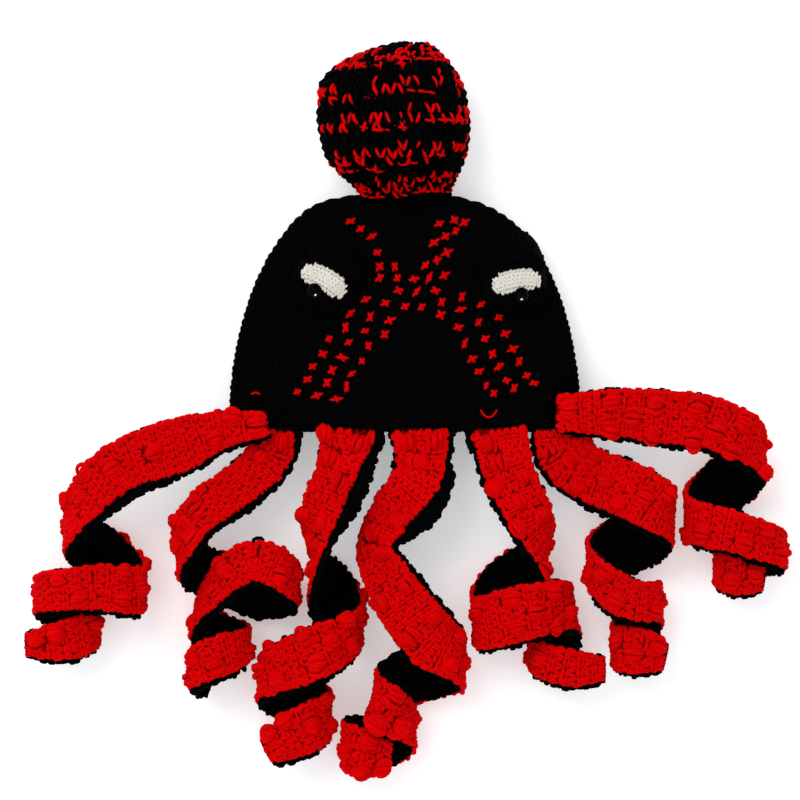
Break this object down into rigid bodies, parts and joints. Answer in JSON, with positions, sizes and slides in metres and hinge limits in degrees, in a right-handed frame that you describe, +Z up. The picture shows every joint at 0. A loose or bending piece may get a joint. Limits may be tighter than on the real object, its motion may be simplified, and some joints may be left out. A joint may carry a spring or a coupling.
{
  "type": "crocheted octopus hat",
  "caption": "Soft crocheted octopus hat: hollow dome with a stuffed striped head on top, angry eyes, crossed freckle stitches and curling two-layer tentacles around the brim.",
  "frame": {"origin": "middle of the whole object's outline, on the surface it lies on", "axes": "+X to the right as the face is seen, +Y from the brim towards the stuffed head, +Z up out of the face"},
  "size_m": [0.6064, 0.5813, 0.09],
  "materials": {
    "black_yarn": "matte crocheted black yarn, slightly fuzzy",
    "red_yarn": "matte crocheted bright red yarn with raised bobbles",
    "lining_yarn": "matte crocheted black yarn, close stitches",
    "striped_yarn": "black and red slanted crochet stitches in rows",
    "white_yarn": "off-white crochet in close rows",
    "safety_eye": "polished black plastic",
    "stuffing": "loose polyester filling, hidden"
  },
  "bodies": {
    "hat": {"hat_shell": "black_yarn", "brim_band": "black_yarn", "eye_mound_left": "black_yarn", "eye_white_left": "white_yarn", "eyelid_upper_left": "black_yarn", "eyelid_lower_left": "black_yarn", "pupil_left": "safety_eye", "eye_mound_right": "black_yarn", "eye_white_right": "white_yarn", "eyelid_upper_right": "black_yarn", "eyelid_lower_right": "black_yarn", "pupil_right": "safety_eye", "freckles_left": "red_yarn", "freckles_right": "red_yarn"},
    "head": {"head_cover": "striped_yarn", "head_stuffing": "stuffing"},
    "arm_1": {"tentacle_1": "red_yarn", "lining_1": "lining_yarn"},
    "arm_2": {"tentacle_2": "red_yarn", "lining_2": "lining_yarn"},
    "arm_3": {"tentacle_3": "red_yarn", "lining_3": "lining_yarn"},
    "arm_4": {"tentacle_4": "red_yarn", "lining_4": "lining_yarn"},
    "arm_5": {"tentacle_5": "red_yarn", "lining_5": "lining_yarn"},
    "arm_6": {"tentacle_6": "red_yarn", "lining_6": "lining_yarn"},
    "arm_7": {"tentacle_7": "red_yarn", "lining_7": "lining_yarn"}
  },
  "joints": [
    {"name": "seam_1", "type": "hinge", "parent": "hat", "child": "arm_1", "pos_m": [-0.1092, -0.0114, 0.058], "axis": [-0.2496, 0.9684, 0], "range_deg": [0, 30]},
    {"name": "seam_2", "type": "hinge", "parent": "hat", "child": "arm_2", "pos_m": [-0.1052, -0.0194, 0.044], "axis": [-1, 0, 0], "range_deg": [0, 30]},
    {"name": "seam_3", "type": "hinge", "parent": "hat", "child": "arm_3", "pos_m": [-0.0452, -0.0194, 0.048], "axis": [-1, 0, 0], "range_deg": [0, 30]},
    {"name": "seam_4", "type": "hinge", "parent": "hat", "child": "arm_4", "pos_m": [0.0108, -0.0194, 0.048], "axis": [-1, 0, 0], "range_deg": [0, 30]},
    {"name": "seam_5", "type": "hinge", "parent": "hat", "child": "arm_5", "pos_m": [0.0728, -0.0194, 0.048], "axis": [-1, 0, 0], "range_deg": [0, 30]},
    {"name": "seam_6", "type": "hinge", "parent": "hat", "child": "arm_6", "pos_m": [0.1228, -0.0194, 0.042], "axis": [-1, 0, 0], "range_deg": [0, 30]},
    {"name": "seam_7", "type": "hinge", "parent": "hat", "child": "arm_7", "pos_m": [0.1178, -0.0034, 0.056], "axis": [0, -1, 0], "range_deg": [0, 25]},
    {"name": "neck", "type": "hinge", "parent": "hat", "child": "head", "pos_m": [-0.0002, 0.1692, 0.035], "axis": [1, 0, 0], "range_deg": [0, 75]}
  ]
}
